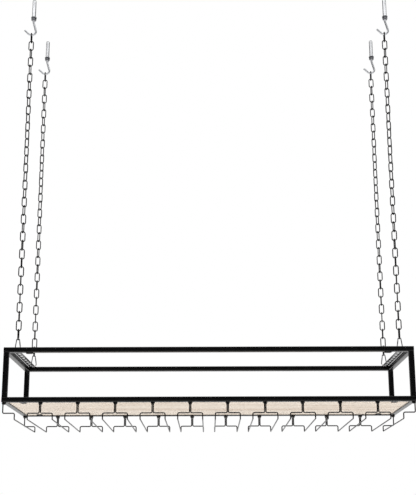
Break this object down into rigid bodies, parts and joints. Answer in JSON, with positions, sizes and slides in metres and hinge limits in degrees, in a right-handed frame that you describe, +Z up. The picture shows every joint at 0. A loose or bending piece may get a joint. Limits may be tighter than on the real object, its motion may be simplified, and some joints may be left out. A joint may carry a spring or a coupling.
{
  "type": "hanging wine rack",
  "caption": "Hanging wine rack: a black tube frame with a wooden shelf and wire hangers for stemmed glasses under it, hung from open ceiling hooks on chains with snap hooks.",
  "frame": {"origin": "centre of the four ceiling anchors, at the face of the ceiling; the rack hangs below it", "axes": "+Z up, into the ceiling; +X along the rack; the front, with the capped guard rail, faces -Y"},
  "size_m": [1.2, 0.33, 1.3683],
  "materials": {
    "black_powder_coat": "satin",
    "black_wire": "satin",
    "black_chain": "satin",
    "black_screws": "satin",
    "black_plastic": "matt",
    "pale_wood": "clear matt varnish",
    "zinc_screws": "zinc plated",
    "zinc_plated_steel": "bright zinc plating",
    "polished_steel": "polished"
  },
  "bodies": {
    "ceiling": {"ceiling_hook_front_left": "zinc_plated_steel", "ceiling_hook_front_right": "zinc_plated_steel", "ceiling_hook_rear_left": "zinc_plated_steel", "ceiling_hook_rear_right": "zinc_plated_steel", "anchor_washers": "zinc_plated_steel", "anchor_nuts": "zinc_plated_steel", "anchor_sleeves": "zinc_plated_steel", "anchor_cones": "zinc_plated_steel"},
    "top_link_front_left": {"top_link_front_left": "black_chain"},
    "chain_front_left": {"chain_front_left": "black_chain"},
    "snap_hook_front_left": {"snap_hook_front_left": "polished_steel"},
    "gate_front_left": {"gate_front_left": "polished_steel", "gate_pin_front_left": "polished_steel"},
    "top_link_front_right": {"top_link_front_right": "black_chain"},
    "chain_front_right": {"chain_front_right": "black_chain"},
    "snap_hook_front_right": {"snap_hook_front_right": "polished_steel"},
    "gate_front_right": {"gate_front_right": "polished_steel", "gate_pin_front_right": "polished_steel"},
    "top_link_rear_left": {"top_link_rear_left": "black_chain"},
    "chain_rear_left": {"chain_rear_left": "black_chain"},
    "snap_hook_rear_left": {"snap_hook_rear_left": "polished_steel"},
    "gate_rear_left": {"gate_rear_left": "polished_steel", "gate_pin_rear_left": "polished_steel"},
    "top_link_rear_right": {"top_link_rear_right": "black_chain"},
    "chain_rear_right": {"chain_rear_right": "black_chain"},
    "snap_hook_rear_right": {"snap_hook_rear_right": "polished_steel"},
    "gate_rear_right": {"gate_rear_right": "polished_steel", "gate_pin_rear_right": "polished_steel"},
    "rack": {"top_front_rail": "black_powder_coat", "top_rear_rail": "black_powder_coat", "top_left_rail": "black_powder_coat", "top_right_rail": "black_powder_coat", "bottom_front_rail": "black_powder_coat", "bottom_rear_rail": "black_powder_coat", "bottom_left_rail": "black_powder_coat", "bottom_right_rail": "black_powder_coat", "front_left_post": "black_powder_coat", "front_right_post": "black_powder_coat", "rear_left_post": "black_powder_coat", "rear_right_post": "black_powder_coat", "guard_rail_caps": "black_plastic", "left_slotted_strip": "black_powder_coat", "right_slotted_strip": "black_powder_coat", "shelf_board": "pale_wood", "shelf_tabs": "black_powder_coat", "shelf_screws": "zinc_screws", "glass_hanger_01": "black_wire", "glass_hanger_02": "black_wire", "glass_hanger_03": "black_wire", "glass_hanger_04": "black_wire", "glass_hanger_05": "black_wire", "glass_hanger_06": "black_wire", "glass_hanger_07": "black_wire", "glass_hanger_08": "black_wire", "glass_hanger_09": "black_wire", "glass_hanger_10": "black_wire", "end_hanger_left": "black_wire", "end_hanger_right": "black_wire", "hanger_screws": "black_screws"}
  },
  "joints": [
    {"name": "hook_sway_front_left", "type": "hinge", "parent": "ceiling", "child": "top_link_front_left", "pos_m": [-0.5715, -0.128, -0.0625], "axis": [1, 0, 0], "range_deg": [-10, 10]},
    {"name": "chain_sway_front_left", "type": "hinge", "parent": "top_link_front_left", "child": "chain_front_left", "pos_m": [-0.5715, -0.128, -0.08813], "axis": [0, 1, 0], "range_deg": [-8, 8]},
    {"name": "snap_hook_level_front_left", "type": "hinge", "parent": "chain_front_left", "child": "snap_hook_front_left", "pos_m": [-0.5715, -0.128, -1.06358], "axis": [0, 1, 0], "range_deg": [-8, 8]},
    {"name": "rack_level", "type": "hinge", "parent": "snap_hook_front_left", "child": "rack", "pos_m": [-0.5715, -0.128, -1.09777], "axis": [1, 0, 0], "range_deg": [-10, 10]},
    {"name": "gate_hinge_front_left", "type": "hinge", "parent": "snap_hook_front_left", "child": "gate_front_left", "pos_m": [-0.56645, -0.128, -1.07029], "axis": [0, 1, 0], "range_deg": [0, 30], "stiffness_Nm_per_rad": 0.05, "springref_deg": -28.65},
    {"name": "hook_sway_front_right", "type": "hinge", "parent": "ceiling", "child": "top_link_front_right", "pos_m": [0.5615, -0.128, -0.0625], "axis": [1, 0, 0], "range_deg": [-10, 10]},
    {"name": "chain_sway_front_right", "type": "hinge", "parent": "top_link_front_right", "child": "chain_front_right", "pos_m": [0.5615, -0.128, -0.08813], "axis": [0, 1, 0], "range_deg": [-8, 8]},
    {"name": "snap_hook_level_front_right", "type": "hinge", "parent": "chain_front_right", "child": "snap_hook_front_right", "pos_m": [0.5615, -0.128, -1.06358], "axis": [0, 1, 0], "range_deg": [-8, 8]},
    {"name": "gate_hinge_front_right", "type": "hinge", "parent": "snap_hook_front_right", "child": "gate_front_right", "pos_m": [0.55645, -0.128, -1.07029], "axis": [0, -1, 0], "range_deg": [0, 30], "stiffness_Nm_per_rad": 0.05, "springref_deg": -28.65},
    {"name": "hook_sway_rear_left", "type": "hinge", "parent": "ceiling", "child": "top_link_rear_left", "pos_m": [-0.5715, 0.128, -0.0625], "axis": [1, 0, 0], "range_deg": [-10, 10]},
    {"name": "chain_sway_rear_left", "type": "hinge", "parent": "top_link_rear_left", "child": "chain_rear_left", "pos_m": [-0.5715, 0.128, -0.08813], "axis": [0, 1, 0], "range_deg": [-8, 8]},
    {"name": "snap_hook_level_rear_left", "type": "hinge", "parent": "chain_rear_left", "child": "snap_hook_rear_left", "pos_m": [-0.5715, 0.128, -1.06358], "axis": [0, 1, 0], "range_deg": [-8, 8]},
    {"name": "gate_hinge_rear_left", "type": "hinge", "parent": "snap_hook_rear_left", "child": "gate_rear_left", "pos_m": [-0.56645, 0.128, -1.07029], "axis": [0, 1, 0], "range_deg": [0, 30], "stiffness_Nm_per_rad": 0.05, "springref_deg": -28.65},
    {"name": "hook_sway_rear_right", "type": "hinge", "parent": "ceiling", "child": "top_link_rear_right", "pos_m": [0.5615, 0.128, -0.0625], "axis": [1, 0, 0], "range_deg": [-10, 10]},
    {"name": "chain_sway_rear_right", "type": "hinge", "parent": "top_link_rear_right", "child": "chain_rear_right", "pos_m": [0.5615, 0.128, -0.08813], "axis": [0, 1, 0], "range_deg": [-8, 8]},
    {"name": "snap_hook_level_rear_right", "type": "hinge", "parent": "chain_rear_right", "child": "snap_hook_rear_right", "pos_m": [0.5615, 0.128, -1.06358], "axis": [0, 1, 0], "range_deg": [-8, 8]},
    {"name": "gate_hinge_rear_right", "type": "hinge", "parent": "snap_hook_rear_right", "child": "gate_rear_right", "pos_m": [0.55645, 0.128, -1.07029], "axis": [0, -1, 0], "range_deg": [0, 30], "stiffness_Nm_per_rad": 0.05, "springref_deg": -28.65}
  ],
  "couplings": [
    {"joint": "rack_level", "follows": "hook_sway_front_left", "ratio": -1},
    {"joint": "snap_hook_level_front_left", "follows": "chain_sway_front_left", "ratio": -1},
    {"joint": "hook_sway_front_right", "follows": "hook_sway_front_left", "ratio": 1},
    {"joint": "chain_sway_front_right", "follows": "chain_sway_front_left", "ratio": 1},
    {"joint": "snap_hook_level_front_right", "follows": "chain_sway_front_left", "ratio": -1},
    {"joint": "hook_sway_rear_left", "follows": "hook_sway_front_left", "ratio": 1},
    {"joint": "chain_sway_rear_left", "follows": "chain_sway_front_left", "ratio": 1},
    {"joint": "snap_hook_level_rear_left", "follows": "chain_sway_front_left", "ratio": -1},
    {"joint": "hook_sway_rear_right", "follows": "hook_sway_front_left", "ratio": 1},
    {"joint": "chain_sway_rear_right", "follows": "chain_sway_front_left", "ratio": 1},
    {"joint": "snap_hook_level_rear_right", "follows": "chain_sway_front_left", "ratio": -1}
  ]
}
